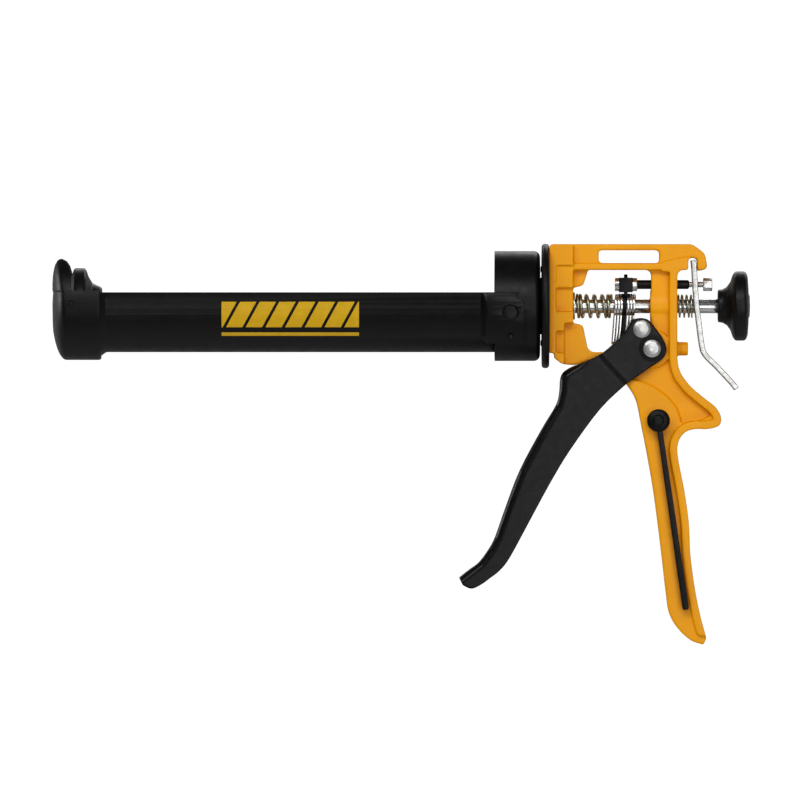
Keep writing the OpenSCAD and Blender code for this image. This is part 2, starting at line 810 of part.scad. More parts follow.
// ---- drive plates --------------------------------------------------------

// Places its children leaning with the plates, with x = 0 at the front of the carrier plate
module leaning() {
    translate([lean_x, 0, lean_z]) rotate([0, plate_lean, 0]) translate([0, 0, -lean_z]) children();
}

// One plate: a round head on the rod and a tail that hangs down to the roller
module drive_plate(x0, t) {
    hole_z = (x0 + t / 2) * tan(plate_lean);
    translate([x0, 0, 0]) rotate([90, 0, 90]) linear_extrude(t) difference() {
        union() {
            translate([0, hole_z]) circle(plate_head_r);
            polygon(rounded([
                [-tail_w / 2, plate_low_z, 1.5], [tail_w / 2, plate_low_z, 1.5],
                [tail_w / 2, 0, 0], [-tail_w / 2, 0, 0]
            ]));
        }
        translate([0, hole_z]) circle(plate_hole_r);
    }
}

module plate_stack(x0) {
    for (i = [0 : plate_n - 1])
        leaning() drive_plate(x0 + i * (plate_t + 0.1), plate_t);
}

module drive_plates_front() { color("silver") plate_stack(-stack_t - 0.1); }

module drive_plates_rear() { color("silver") plate_stack(carrier_t + 0.1); }

module carrier_plate() {
    block_z = lean_z + 0.4;
    color("dimgray") difference() {
        union() {
            leaning() drive_plate(0, carrier_t);
            translate([lean_x, 0, 0]) rotate([90, 0, 90]) linear_extrude(carrier_t)
                polygon(rounded([
                    [-5, lean_z - 1.6, 0], [5, lean_z - 1.6, 0], [5, guide_z + 5.6, 2],
                    [-5, guide_z + 5.6, 2]
                ]));
            translate([lean_x - 2.8, -6, block_z]) cube([7.6, 12, 8]);
        }
        translate([0, 0, guide_z]) along(lean_x - 20, lean_x + 20, guide_r + 1.1);
    }
}

module carrier_bush() {
    color("silver") translate([0, 0, guide_z]) difference() {
        along(bush_x0, bush_x1, guide_r + 1.1);
        along(bush_x0 - over, bush_x1 + over, guide_r + run_gap);
    }
}

module spring_washer() {
    color("silver") difference() {
        along(head_t, head_t + washer_t, drive_spring_d / 2 + 0.6);
        along(head_t - over, head_t + washer_t + over, rod_r + 0.4);
    }
}

module drive_spring() {
    color("olive")
        wound(drive_spring_x0 + 0.05, drive_spring_x1, drive_spring_d, drive_wire_d, 3.2, 1.6);
}

module lever_spring() {
    color("olive")
        wound(frame_l + 0.05, lever_spring_x1, lever_spring_d, lever_wire_d, 2.6, 0.6);
}

module guide_rod() {
    color("black") translate([0, 0, guide_z]) difference() {
        turned([
            [bush_x0 + 1, 0], [bush_x0 + 1, guide_r - 0.5], [bush_x0 + 1.5, guide_r],
            [guide_x1 - 0.6, guide_r], [guide_x1, guide_r - 0.6], [guide_x1, 0]
        ]);
        along(frame_l, guide_x1 + over, screw_r);
    }
}

module adjusting_screw() {
    color("silver") translate([0, 0, guide_z]) {
        along(frame_l, frame_l + 14.4, screw_r);
        translate([frame_l + 14.3, 0, 0]) rotate([0, 90, 0]) cylinder(h = 5, r = 3.7, $fn = 6);
    }
}

// ---- release lever -------------------------------------------------------

module lever_path() {
    polygon(strip(curve([for (p = [
        [8.8, bar_z + 5.4], [9.3, bar_z + 1], [10.4, 3.3], [12, -10.4], [13.4, -21], [15.2, -26.6],
        [22, -33.6], [30.2, -42.4], [32.6, -45.6]
    ]) [frame_l + p[0], p[1]]]), lever_t));
}

module release_lever() {
    color("silver") difference() {
        across(lever_w) lever_path();
        // Slots for the rod and the screw, tall enough for the lever to swing
        for (s = [[0, rod_r + 1.2], [guide_z, 2.4]])
            for (z = [-0.4, 0, 0.4])
                translate([0, 0, s[0] + z]) along(frame_l + 3, frame_l + 20, s[1]);
    }
}

// ---- seal pin ------------------------------------------------------------

module on_pin() { translate([pin_at[0], 0, pin_at[1]]) rotate([0, -pin_angle, 0]) children(); }

module seal_pin() {
    color("black") on_pin() difference() {
        union() {
            between(-pin_y - pin_t, -pin_y) polygon([
                [-1.5, -1], [1.5, -1], [1.8, -pin_l + 0.8], [1.2, -pin_l], [-1.2, -pin_l],
                [-1.8, -pin_l + 0.8]
            ]);
            translate([0, -pin_y - pin_t, 0]) rotate([-90, 0, 0]) cylinder(h = pin_t, r = 4.6);
        }
        cross([0, 0], 60, pin_rivet_r + run_gap);
    }
}

module seal_pin_head() {
    color("black") on_pin() translate([0, -pin_y - pin_t, 0]) rotate([90, 0, 0]) difference() {
        union() {
            cylinder(h = 1.2, r = pin_head_r);
            translate([0, 0, 1.2]) cylinder(h = 1, r1 = pin_head_r, r2 = pin_head_r * 0.7);
        }
        translate([0, 0, -over]) cylinder(h = 4, r = pin_rivet_r + run_gap);
    }
}

module pin_rivet() {
    head_y = pin_y + pin_t + 2.4;
    color("black") translate([pin_at[0], 0, pin_at[1]]) rotate([90, 0, 0]) {
        translate([0, 0, pin_root]) cylinder(h = head_y - pin_root, r = pin_rivet_r);
        translate([0, 0, head_y]) cylinder(h = 0.9, r1 = 3.4, r2 = 2.2);
    }
}

handle_frame();
swivel_disc();
swivel_hub();
hub_ring();
front_bush();
rear_bush();
spring_washer();
drive_spring();
guide_rod();
adjusting_screw();
lever_spring();
trigger_pivot();
pin_rivet();
rear_cup();
cradle();
front_cap();
rear_rivets();
front_rivets();
thrust_washer();
push_rod();
piston();
piston_washer();
piston_nut();
pull_knob();
knob_cap();
trigger();
drive_pin();
drive_roller();
pivot_rings();
drive_plates_front();
carrier_plate();
drive_plates_rear();
carrier_bush();
release_lever();
seal_pin();
seal_pin_head();
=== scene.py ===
from math import atan2, ceil, cos, pi, radians, sin, sqrt, tau

import bmesh
import bpy
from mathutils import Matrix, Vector
from mathutils.geometry import intersect_point_line


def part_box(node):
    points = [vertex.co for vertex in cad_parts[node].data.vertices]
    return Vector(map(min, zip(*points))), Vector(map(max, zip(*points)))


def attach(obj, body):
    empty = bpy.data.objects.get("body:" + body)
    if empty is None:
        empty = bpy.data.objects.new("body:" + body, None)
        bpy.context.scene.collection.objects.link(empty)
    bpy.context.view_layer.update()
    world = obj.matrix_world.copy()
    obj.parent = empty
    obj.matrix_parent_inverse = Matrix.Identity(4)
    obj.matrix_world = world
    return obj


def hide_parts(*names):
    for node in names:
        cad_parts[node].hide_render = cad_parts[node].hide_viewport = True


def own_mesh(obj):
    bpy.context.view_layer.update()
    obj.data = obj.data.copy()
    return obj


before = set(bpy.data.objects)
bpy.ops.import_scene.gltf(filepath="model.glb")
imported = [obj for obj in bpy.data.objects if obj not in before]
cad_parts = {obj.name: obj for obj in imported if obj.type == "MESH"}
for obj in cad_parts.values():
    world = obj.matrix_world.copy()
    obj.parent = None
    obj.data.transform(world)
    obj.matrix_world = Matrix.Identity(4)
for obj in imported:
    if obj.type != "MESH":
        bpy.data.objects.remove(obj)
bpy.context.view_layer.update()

# ---- Camera and studio ---------------------------------------------------
# A very long lens looks square on at the gun's left side from 9 m. The gun hangs
# in a white room: soft boxes in front, behind and to either end, and a sky of
# broad soft bands that the black coat and the bright steel mirror.
VIEW_DISTANCE = 9
VIEW_WIDTH = 0.44
VIEW_X, VIEW_Z = -0.082, -0.0517
SENSOR = 0.036
GUN_MIDDLE = Vector((-0.08, 0, -0.05))
# Name, place, width and height, and power in watts
SOFT_BOXES = (
    ("front_box", (-0.25, -1.15, 0.85), (1.7, 0.42), 13),
    ("fill_box", (0.5, -1.9, -0.1), (1.2, 1.2), 10),
    ("back_box", (0.1, 1.5, 0.9), (1.6, 0.6), 8),
    ("left_box", (-1.7, 0.55, 0.25), (0.9, 0.5), 9),
    ("right_box", (1.7, 0.3, 0.5), (0.7, 0.7), 2.5)
)
# Angle round the long axis, in degrees above straight ahead of the gun, and brightness
SKY_BANDS = (
    (-180, 0.4), (-150, 0.25), (-118, 0.3), (-100, 0.62), (-50, 0.62), (-34, 0.1), (-14, 0.08),
    (-5, 0.36), (7, 0.36), (22, 0.07), (60, 0.09), (100, 0.12), (140, 0.22), (180, 0.4)
)
BACKGROUND_STRENGTH = 1.05

camera_data = bpy.data.cameras.new("camera")
camera_data.sensor_width = 1000 * SENSOR
camera_data.lens = 1000 * SENSOR * VIEW_DISTANCE / VIEW_WIDTH
camera = bpy.data.objects.new("camera", camera_data)
camera.location = (VIEW_X, -VIEW_DISTANCE, VIEW_Z)
camera.rotation_euler = (pi / 2, 0, 0)
bpy.context.scene.collection.objects.link(camera)
bpy.context.scene.camera = camera
bpy.context.scene.view_settings.view_transform = "Standard"


def add_soft_box(name, place, size, power):
    """A rectangular soft box at place that points at the gun's middle."""
    light = bpy.data.lights.new(name, "AREA")
    light.shape = "RECTANGLE"
    light.size, light.size_y = size
    light.energy = power
    lamp = bpy.data.objects.new(name, light)
    lamp.location = place
    lamp.visible_camera = False
    lamp.rotation_euler = (GUN_MIDDLE - Vector(place)).to_track_quat("-Z", "Y").to_euler()
    bpy.context.scene.collection.objects.link(lamp)


for soft_box in SOFT_BOXES:
    add_soft_box(*soft_box)


def add_sky():
    """A white background, and bands of light round the gun's long axis for what mirrors them."""
    world = bpy.data.worlds.new("studio")
    bpy.context.scene.world = world
    world.use_nodes = True
    tree = world.node_tree
    tree.nodes.clear()
    place = tree.nodes.new("ShaderNodeTexCoord")
    split = tree.nodes.new("ShaderNodeSeparateXYZ")
    flip = tree.nodes.new("ShaderNodeMath")
    flip.operation = "MULTIPLY"
    flip.inputs[1].default_value = -1
    angle = tree.nodes.new("ShaderNodeMath")
    angle.operation = "ARCTAN2"
    share = tree.nodes.new("ShaderNodeMapRange")
    share.inputs["From Min"].default_value = -pi
    share.inputs["From Max"].default_value = pi
    bands = tree.nodes.new("ShaderNodeValToRGB")
    ramp = bands.color_ramp
    for n, (degrees, bright) in enumerate(SKY_BANDS):
        at = (degrees + 180) / 360
        # A new ramp already has its first two stops
        stop = ramp.elements[n] if n < 2 else ramp.elements.new(at)
        stop.position = at
        stop.color = (bright, bright, bright, 1)
    soft = tree.nodes.new("ShaderNodeBackground")
    white = tree.nodes.new("ShaderNodeBackground")
    white.inputs["Color"].default_value = (1, 1, 1, 1)
    white.inputs["Strength"].default_value = BACKGROUND_STRENGTH
    ray = tree.nodes.new("ShaderNodeLightPath")
    either = tree.nodes.new("ShaderNodeMixShader")
    out = tree.nodes.new("ShaderNodeOutputWorld")
    links = tree.links
    links.new(place.outputs["Generated"], split.inputs[0])
    links.new(split.outputs["Y"], flip.inputs[0])
    links.new(split.outputs["Z"], angle.inputs[0])
    links.new(flip.outputs[0], angle.inputs[1])
    links.new(angle.outputs[0], share.inputs["Value"])
    links.new(share.outputs["Result"], bands.inputs["Fac"])
    links.new(bands.outputs["Color"], soft.inputs["Color"])
    links.new(ray.outputs["Is Camera Ray"], either.inputs["Fac"])
    links.new(soft.outputs[0], either.inputs[1])
    links.new(white.outputs[0], either.inputs[2])
    links.new(either.outputs[0], out.inputs["Surface"])


add_sky()


# ---- Handle frame --------------------------------------------------------
# One die casting holds everything: the head, the top bar, the rear wall with
# its horn, and the grip. Its edges and inside corners are rounded by the die.
# Its warm yellow paint is darkened to a deep orange in corners and recesses as painted shade.
PAINT_BRIGHT, PAINT_FULL = (0.96, 0.4, 0.003), (0.9, 0.36, 0.002)
PAINT_SPECK = (0.74, 0.28, 0.002)
# Painted shade: the deep orange laid on the paint in corners and recesses, and how near another face
# must be for it
PAINTED_CORNER_SHADE = (0.6, 0.17, 0.001)
PAINTED_SHADE_REACH = 0.006


class Finish:
    """A finish under construction: its material, its shader and the coordinates of its patterns."""

    def __init__(self, name, stretch=(1, 1, 1)):
        self.material = bpy.data.materials.new(name)
        self.material.use_nodes = True
        self.nodes = self.material.node_tree.nodes
        self.links = self.material.node_tree.links
        self.shader = self.nodes["Principled BSDF"]
        self.place = self.nodes.new("ShaderNodeTexCoord").outputs["Object"]
        mapping = self.nodes.new("ShaderNodeMapping")
        mapping.inputs["Scale"].default_value = stretch
        self.links.new(self.place, mapping.inputs["Vector"])
        self.vector = mapping.outputs[0]

    def set(self, **values):
        """Puts plain values on the shader's own sockets."""
        for name, value in values.items():
            self.shader.inputs[name.replace("_", " ")].default_value = value

    def noise(self, scale, detail=3.0, roughness=0.5):
        """A cloudy pattern with this many clouds to the metre, more or less."""
        node = self.nodes.new("ShaderNodeTexNoise")
        node.inputs["Scale"].default_value = scale
        node.inputs["Detail"].default_value = detail
        node.inputs["Roughness"].default_value = roughness
        self.links.new(self.vector, node.inputs["Vector"])
        return node.outputs["Fac"]

    def ranged(self, value, low, high, start=0.35, end=0.65):
        """The value between start and end, spread over low to high."""
        node = self.nodes.new("ShaderNodeMapRange")
        limits = {"From Min": start, "From Max": end, "To Min": low, "To Max": high}
        for socket, number in limits.items():
            node.inputs[socket].default_value = number
        self.links.new(value, node.inputs["Value"])
        return node.outputs["Result"]

    def between(self, value, first, second):
        """A colour that goes from first to second with the value; each is a colour or a socket."""
        node = self.nodes.new("ShaderNodeMix")
        node.data_type = "RGBA"
        colours = [socket for socket in node.inputs if socket.type == "RGBA"]
        self.links.new(value, node.inputs[0])
        for socket, colour in zip(colours, (first, second)):
            if isinstance(colour, bpy.types.NodeSocket):
                self.links.new(colour, socket)
            else:
                socket.default_value = (*colour, 1)
        return [socket for socket in node.outputs if socket.type == "RGBA"][0]

    def math(self, operation, first, second=0.0, third=0.0):
        """The result of a sum on values, each a number or a socket."""
        node = self.nodes.new("ShaderNodeMath")
        node.operation = operation
        for socket, value in zip(node.inputs, (first, second, third)):
            if isinstance(value, bpy.types.NodeSocket):
                self.links.new(value, socket)
            else:
                socket.default_value = value
        return node.outputs[0]

    def colour(self, socket):
        self.links.new(socket, self.shader.inputs["Base Color"])

    def rough(self, socket):
        self.links.new(socket, self.shader.inputs["Roughness"])

    def bump(self, *layers):
        """Stacks bumps, each a pattern and its depth in metres."""
        normal = None
        for pattern, depth in layers:
            node = self.nodes.new("ShaderNodeBump")
            node.inputs["Strength"].default_value = 1
            node.inputs["Distance"].default_value = depth
            self.links.new(pattern, node.inputs["Height"])
            if normal:
                self.links.new(normal, node.inputs["Normal"])
            normal = node.outputs[0]
        self.links.new(normal, self.shader.inputs["Normal"])


def coat(piece, material):
    """The material on every face of the piece, in place of any other."""
    piece.data.materials.clear()
    piece.data.materials.append(material)
    for face in piece.data.polygons:
        face.material_index = 0


SAME_POINT = 1e-6
FLAT_ANGLE = radians(0.4)


def new_piece(name, mesh):
    """A new object that stands in the scene and shows the mesh."""
    mesh.name = name
    piece = bpy.data.objects.new(name, mesh)
    bpy.context.scene.collection.objects.link(piece)
    return piece


def node_copy(node, name):
    """A piece with a CAD node's mesh, its doubled vertices joined and its flat faces merged."""
    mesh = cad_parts[node].data.copy()
    piece = new_piece(name, mesh)
    work = bmesh.new()
    work.from_mesh(mesh)
    bmesh.ops.remove_doubles(work, verts=work.verts, dist=SAME_POINT)
    bmesh.ops.dissolve_limit(work, angle_limit=FLAT_ANGLE, verts=work.verts, edges=work.edges)
    work.to_mesh(mesh)
    work.free()
    return piece


def apply_modifiers(piece):
    """The piece's modifiers, worked into its mesh."""
    graph = bpy.context.evaluated_depsgraph_get()
    done = bpy.data.meshes.new_from_object(piece.evaluated_get(graph))
    piece.modifiers.clear()
    piece.data = done


def shade_smooth(piece, angle=None):
    """Smooth shading, with creases kept sharp past the angle in degrees."""
    for face in piece.data.polygons:
        face.use_smooth = True
    if angle:
        piece.data.set_sharp_from_angle(angle=radians(angle))


def put_on(piece, body, node):
    """The piece rides on the body and stands for the node, whose CAD part is hidden."""
    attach(piece, body)
    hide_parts(node)


def yellow_paint():
    finish = Finish("yellow_paint")
    drift = finish.noise(28, 2)
    speck = finish.noise(900, 2, 0.6)
    colour = finish.between(finish.ranged(drift, 0, 1), PAINT_FULL, PAINT_BRIGHT)
    speckled = finish.ranged(speck, 0, 0.22, start=0.55, end=0.8)
    colour = finish.between(speckled, colour, PAINT_SPECK)
    # Painted shade: where nearby faces close in, the paint colour turns to the deep orange of the
    # painted corner shade
    open_sky = finish.nodes.new("ShaderNodeAmbientOcclusion")
    open_sky.samples = 8
    open_sky.inputs["Distance"].default_value = PAINTED_SHADE_REACH
    openness = finish.ranged(open_sky.outputs["AO"], 0, 1, start=0.3, end=0.85)
    finish.colour(finish.between(openness, PAINTED_CORNER_SHADE, colour))
    finish.rough(finish.ranged(finish.noise(160, 4), 0.3, 0.42))
    finish.set(Specular_IOR_Level=0.16)
    finish.bump((finish.noise(420, 2), 0.00005), (finish.noise(60, 3), 0.00012))
    return finish.material


def recast(node, name, grid, rounds, keep):
    """A CAD node's copy as one skin of fine facets, its edges and inside corners rounded.

    The facets lie on a grid of this size, are smoothed this many rounds, and this share is kept.
    """
    piece = node_copy(node, name)
    skin = piece.modifiers.new("skin", "REMESH")
    skin.mode = "VOXEL"
    skin.voxel_size = grid
    soften = piece.modifiers.new("rounding", "SMOOTH")
    soften.factor = 0.5
    soften.iterations = rounds
    thin = piece.modifiers.new("thin", "DECIMATE")
    thin.ratio = keep
    apply_modifiers(piece)
    shade_smooth(piece)
    return piece


casting = recast("handle_frame", "cast_handle_frame", grid=0.00056, rounds=6, keep=0.35)
coat(casting, yellow_paint())
put_on(casting, "handle", "handle_frame")


# ---- Swivel --------------------------------------------------------------
# A black disc sits against the frame's front face. A zinc-plated hub passes
# through it, and the barrel turns on the hub, held by a hexagon ring inside
# the cup. Bronze bushes line the rod's path at both ends of the frame.
def eased(node, name, width, segments=2, angle=30):
    """A CAD node's copy whose hard edges are broken, as a file or a tumbling drum leaves them.

    An edge is hard where its faces meet past the angle in degrees.
    """
    piece = node_copy(node, name)
    edge = piece.modifiers.new("edges", "BEVEL")
    edge.width = width
    edge.segments = segments
    edge.limit_method = "ANGLE"
    edge.angle_limit = radians(angle)
    edge.use_clamp_overlap = False
    edge.harden_normals = True
    shade_smooth(piece)
    apply_modifiers(piece)
    return piece


def satin_black(name, shade=0.0016, rough=(0.36, 0.46), grain=1100, depth=0.00003, marks=None):
    """A black coat that drifts from warm to cold; marks gives the mask and the ink of a print."""
    finish = Finish(name)
    drift = finish.ranged(finish.noise(35, 3), 0, 1)
    warm = (shade * 1.1, shade, shade * 0.94)
    cold = (shade * 1.5, shade * 1.5, shade * 1.55)
    colour = finish.between(drift, warm, cold)
    layers = [(finish.noise(grain, 2), depth), (finish.noise(90, 2), depth * 2)]
    if marks:
        mask, ink = marks(finish)
        colour = finish.between(mask, colour, ink)
        layers.append((mask, depth))
    finish.colour(colour)
    finish.rough(finish.ranged(finish.noise(220, 4), *rough))
    finish.set(Specular_IOR_Level=0.17)
    finish.bump(*layers)
    return finish.material


def bright_zinc(name, shade=0.66, rough=(0.24, 0.4), depth=0.00002):
    """Zinc plate whose shade clouds over from bluish to straw."""
    finish = Finish(name)
    cloud = finish.ranged(finish.noise(120, 4), 0, 1)
    bluish = (shade * 0.97, shade, shade * 1.03)
    straw = (shade * 0.88, shade * 0.86, shade * 0.8)
    finish.colour(finish.between(cloud, bluish, straw))
    finish.rough(finish.ranged(finish.noise(500, 4), *rough))
    finish.set(Metallic=1)
    finish.bump((finish.noise(1400, 3), depth), (finish.noise(200, 2), depth * 2))
    return finish.material


def bush_bronze():
    finish = Finish("bush_bronze", stretch=(1, 6, 6))
    stain = finish.ranged(finish.noise(200), 0, 1)
    finish.colour(finish.between(stain, (0.42, 0.26, 0.12), (0.3, 0.17, 0.07)))
    finish.rough(finish.ranged(finish.noise(700), 0.35, 0.55))
    finish.set(Metallic=1)
    finish.bump((finish.noise(1500, 2), 0.00003))
    return finish.material


disc_black = satin_black("disc_black", shade=0.002, rough=(0.4, 0.52), grain=800, depth=0.00005)
swivel_disc = eased("swivel_disc", "swivel_disc_pressed", width=0.0004)
coat(swivel_disc, disc_black)
put_on(swivel_disc, "handle", "swivel_disc")

zinc = bright_zinc("zinc")
for node in ("swivel_hub", "hub_ring"):
    part = eased(node, node + "_turned", width=0.0003)
    coat(part, zinc)
    put_on(part, "handle", node)

bronze = bush_bronze()
for node in ("front_bush", "rear_bush"):
    part = eased(node, node + "_turned", width=0.0003)
    coat(part, bronze)
    put_on(part, "handle", node)

washer_nylon = satin_black("washer_nylon", shade=0.008, rough=(0.5, 0.6), grain=1500, depth=0.00002)
thrust_washer = eased("thrust_washer", "thrust_washer_moulded", width=0.0002)
coat(thrust_washer, washer_nylon)
put_on(thrust_washer, "barrel", "thrust_washer")


# ---- Rear cup ------------------------------------------------------------
# The cup is drawn from sheet steel in one stroke, with a rolled rear corner
# and a plain mouth, and turns on the hub. It is dipped in satin black.
barrel_black = satin_black("barrel_black")
rear_cup = eased("rear_cup", "rear_cup_drawn", width=0.0003)
coat(rear_cup, barrel_black)
put_on(rear_cup, "barrel", "rear_cup")


# ---- Cradle --------------------------------------------------------------
# A trough of folded sheet steel holds the cartridge. Its rear tabs lap over
# the cup's sides and its front collar fits inside the cap. The left side
# carries a plain print: a yellow band of slanted blocks over one thin line.
PRINT_X = (-0.1799, -0.1045)
BAND_Z = (-0.0118, 0.0022)
LINE_Z = (-0.0165, -0.0146)
BLOCK_PITCH = 0.0108
BLOCK_GAP = 0.17
BLOCK_SLANT = 0.55
# The print is on the trough's outside, farther from the rod's axis than this
PRINT_R = 0.0249
INK_FRESH, INK_WORN = (0.68, 0.4, 0.01), (0.62, 0.36, 0.008)


def cradle_print(finish):
    """The mask and the ink of the cradle's print."""
    split = finish.nodes.new("ShaderNodeSeparateXYZ")
    finish.links.new(finish.place, split.inputs[0])
    x, y, z = split.outputs

    def within(value, span):
        low, high = span
        return finish.math("COMPARE", value, (low + high) / 2, (high - low) / 2)

    turns = finish.math("DIVIDE", finish.math("MULTIPLY_ADD", z, -BLOCK_SLANT, x), BLOCK_PITCH)
    blocks = finish.math("GREATER_THAN", finish.math("FRACT", turns), BLOCK_GAP)
    band = finish.math("MULTIPLY", within(z, BAND_Z), blocks)
    marks = finish.math("ADD", band, within(z, LINE_Z))
    left = finish.math("LESS_THAN", y, 0)
    radius_squared = finish.math("MULTIPLY_ADD", y, y, finish.math("MULTIPLY", z, z))
    outside = finish.math("GREATER_THAN", radius_squared, PRINT_R ** 2)
    side = finish.math("MULTIPLY", left, outside)
    mask = finish.math("MULTIPLY", finish.math("MULTIPLY", marks, within(x, PRINT_X)), side)
    wear = finish.ranged(finish.noise(300), 0, 1)
    return mask, finish.between(wear, INK_FRESH, INK_WORN)


cradle = eased("cradle", "cradle_folded", width=0.00028)
coat(cradle, satin_black("printed_black", marks=cradle_print))
put_on(cradle, "barrel", "cradle")


# ---- Front cap -----------------------------------------------------------
# The cap is drawn from thicker sheet, cut open at the top so that the
# cartridge drops in behind its two claws, and slotted for the nozzle.
front_cap = recast("front_cap", "front_cap_drawn", grid=0.00032, rounds=3, keep=0.5)
coat(front_cap, barrel_black)
put_on(front_cap, "barrel", "front_cap")


# ---- Barrel rivets -------------------------------------------------------
# Low black rivets join the tabs to the cup and the collar to the cap, and a
# small pressed stud below each rear rivet keeps the tab from turning.
for node in ("rear_rivets", "front_rivets"):
    part = eased(node, node + "_set", width=0.0002)
    coat(part, barrel_black)
    put_on(part, "barrel", node)


# ---- Push rod ------------------------------------------------------------
# A drawn steel bar 8 mm thick, zinc plated, with long fine scratches from the
# drive plates' bite.
def drawn_steel():
    finish = Finish("drawn_steel", stretch=(1, 24, 24))
    streak = finish.ranged(finish.noise(90, 5, 0.6), 0, 1)
    finish.colour(finish.between(streak, (0.6, 0.61, 0.62), (0.5, 0.5, 0.49)))
    finish.rough(finish.ranged(finish.noise(60, 5), 0.16, 0.3))
    finish.set(Metallic=1)
    finish.bump((finish.noise(150, 4), 0.00002))
    return finish.material


push_rod = eased("push_rod", "push_rod_drawn", width=0.0005)
coat(push_rod, drawn_steel())
put_on(push_rod, "plunger", "push_rod")


# ---- Piston --------------------------------------------------------------
# A black pressed disc with a cone behind pushes the cartridge's base. A
# washer and a nut fix it to the rod's stepped front end.
piston = recast("piston", "piston_pressed", grid=0.0004, rounds=5, keep=0.4)
coat(piston, satin_black("piston_black", shade=0.0018, rough=(0.38, 0.5)))
put_on(piston, "plunger", "piston")
for node in ("piston_washer", "piston_nut"):
    part = eased(node, node + "_plated", width=0.0002)
    coat(part, zinc)
    put_on(part, "plunger", node)


# ---- Pull knob -----------------------------------------------------------
# The moulded knob is pressed on the rod's rear end: a neck, a hollow flare
# and a broad rounded rim, with a plug in the middle of its back.
def moulded_black():
    finish = Finish("moulded_black")
    drift = finish.ranged(finish.noise(60), 0, 1)
    finish.colour(finish.between(drift, (0.0018, 0.0018, 0.002), (0.0028, 0.0028, 0.003)))
    finish.rough(finish.ranged(finish.noise(500, 3), 0.34, 0.44))
    finish.set(Specular_IOR_Level=0.19)
    finish.bump((finish.noise(2200, 2), 0.00003), (finish.noise(200, 2), 0.00004))
    return finish.material


knob_plastic = moulded_black()
knob = recast("pull_knob", "pull_knob_moulded", grid=0.0004, rounds=12, keep=0.4)
cap = eased("knob_cap", "knob_cap_moulded", width=0.0004, segments=3, angle=25)
for part, node in ((knob, "pull_knob"), (cap, "knob_cap")):
    coat(part, knob_plastic)
    put_on(part, "plunger", node)


# ---- Trigger -------------------------------------------------------------
# One folded sheet: a front web that the fingers pull, two sides, and two arms
# that draw in to straddle the frame. The fold along the front is generous.
FOLD_R = 0.0042
SHEET = 0.002
JOGGLE = 0.005
ROLLER_PLAY = 0.0002
# A point counts as an arm's when it lies no deeper than this inside the arm's inner face
ARM_SLACK = 0.0004
# The fold comes in from the first x to its full depth at the second
FOLD_START, FOLD_FULL = -0.034, -0.046
# The front edge, and the joggle's two ends, as x and z in metres from the pivot
FRONT_EDGE = [
    (-0.0276, -0.0026), (-0.037, -0.0073), (-0.0446, -0.0103), (-0.0489, -0.0134), (-0.0504, -0.0174),
    (-0.0508, -0.0235), (-0.0526, -0.031), (-0.0608, -0.0448), (-0.0726, -0.067), (-0.0806, -0.0878),
    (-0.0862, -0.1037), (-0.0897, -0.1103), (-0.095, -0.1175), (-0.101, -0.122), (-0.106, -0.126)
]
STEP_LINE = (-0.0327, 0.001), (-0.0127, -0.021)


def smooth_step(value):
    """A smooth rise from 0 to 1 as the value goes from 0 to 1."""
    value = min(max(value, 0), 1)
    return value * value * (3 - 2 * value)


def gap_to_stretch(at, a, b):
    """How far a point is from the stretch from a to b, or from a where it lies beyond an end."""
    near, share = intersect_point_line(at, a, b)
    return (at - (near if 0 <= share <= 1 else a)).length


def fold_trigger(piece):
    """Rounds the long front fold and slopes the joggle between the arms and the sides."""
    low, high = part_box("trigger_pivot")
    pivot_x, pivot_z = (low.x + high.x) / 2, (low.z + high.z) / 2
    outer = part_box("trigger")[1].y
    inner_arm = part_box("drive_roller")[1].y + ROLLER_PLAY
    rise = outer - inner_arm - SHEET
    edge = [Vector((x, z)) for x, z in FRONT_EDGE]
    start, end = (Vector(point) for point in STEP_LINE)
    across = Vector((end - start).yx).normalized()
    across.y = -across.y
    for vertex in piece.data.vertices:
        at = Vector((vertex.co.x - pivot_x, vertex.co.z - pivot_z))
        side = -1 if vertex.co.y < 0 else 1
        y = abs(vertex.co.y)
        below = (at - start).dot(across)
        if y > inner_arm - ARM_SLACK and abs(below) < JOGGLE / 2:
            outside = y > inner_arm + SHEET * 0.5 + rise * (below > 0)
            y = inner_arm + rise * smooth_step(below / JOGGLE + 0.5) + SHEET * outside
        if y > outer - FOLD_R:
            depth = min(gap_to_stretch(at, a, b) for a, b in zip(edge, edge[1:]))
            if depth < FOLD_R:
                drop = FOLD_R - sqrt(FOLD_R ** 2 - (FOLD_R - depth) ** 2)
                drop *= smooth_step((FOLD_START - at.x) / (FOLD_START - FOLD_FULL))
                y -= drop * (y - outer + FOLD_R) / FOLD_R
        vertex.co.y = side * y


trigger = recast("trigger", "trigger_folded", grid=0.00045, rounds=3, keep=1)
fold_trigger(trigger)
soften = trigger.modifiers.new("rounding", "SMOOTH")
soften.iterations = 3
thin = trigger.modifiers.new("thin", "DECIMATE")
thin.ratio = 0.5
apply_modifiers(trigger)
shade_smooth(trigger)
coat(trigger, satin_black("trigger_black", shade=0.0014, rough=(0.26, 0.34), grain=900, depth=0.000012))
put_on(trigger, "trigger", "trigger")


# ---- Trigger rivets ------------------------------------------------------
# Two solid rivets cross the arms: the lower one is the trigger's pivot in the
# frame, the upper one carries the roller that pushes the drive plates.
rivet_steel = bright_zinc("rivet_steel", shade=0.56, rough=(0.32, 0.46), depth=0.00003)
for node, body in (("trigger_pivot", "handle"), ("drive_pin", "trigger")):
    part = recast(node, node + "_headed", grid=0.00022, rounds=5, keep=0.5)
    coat(part, rivet_steel)
    put_on(part, body, node)
roller = eased("drive_roller", "drive_roller_turned", width=0.0002)
coat(roller, zinc)
put_on(roller, "trigger", "drive_roller")
rings = eased("pivot_rings", "pivot_rings_moulded", width=0.0002)
coat(rings, satin_black("ring_black", shade=0.0025, rough=(0.5, 0.6)))
put_on(rings, "trigger", "pivot_rings")


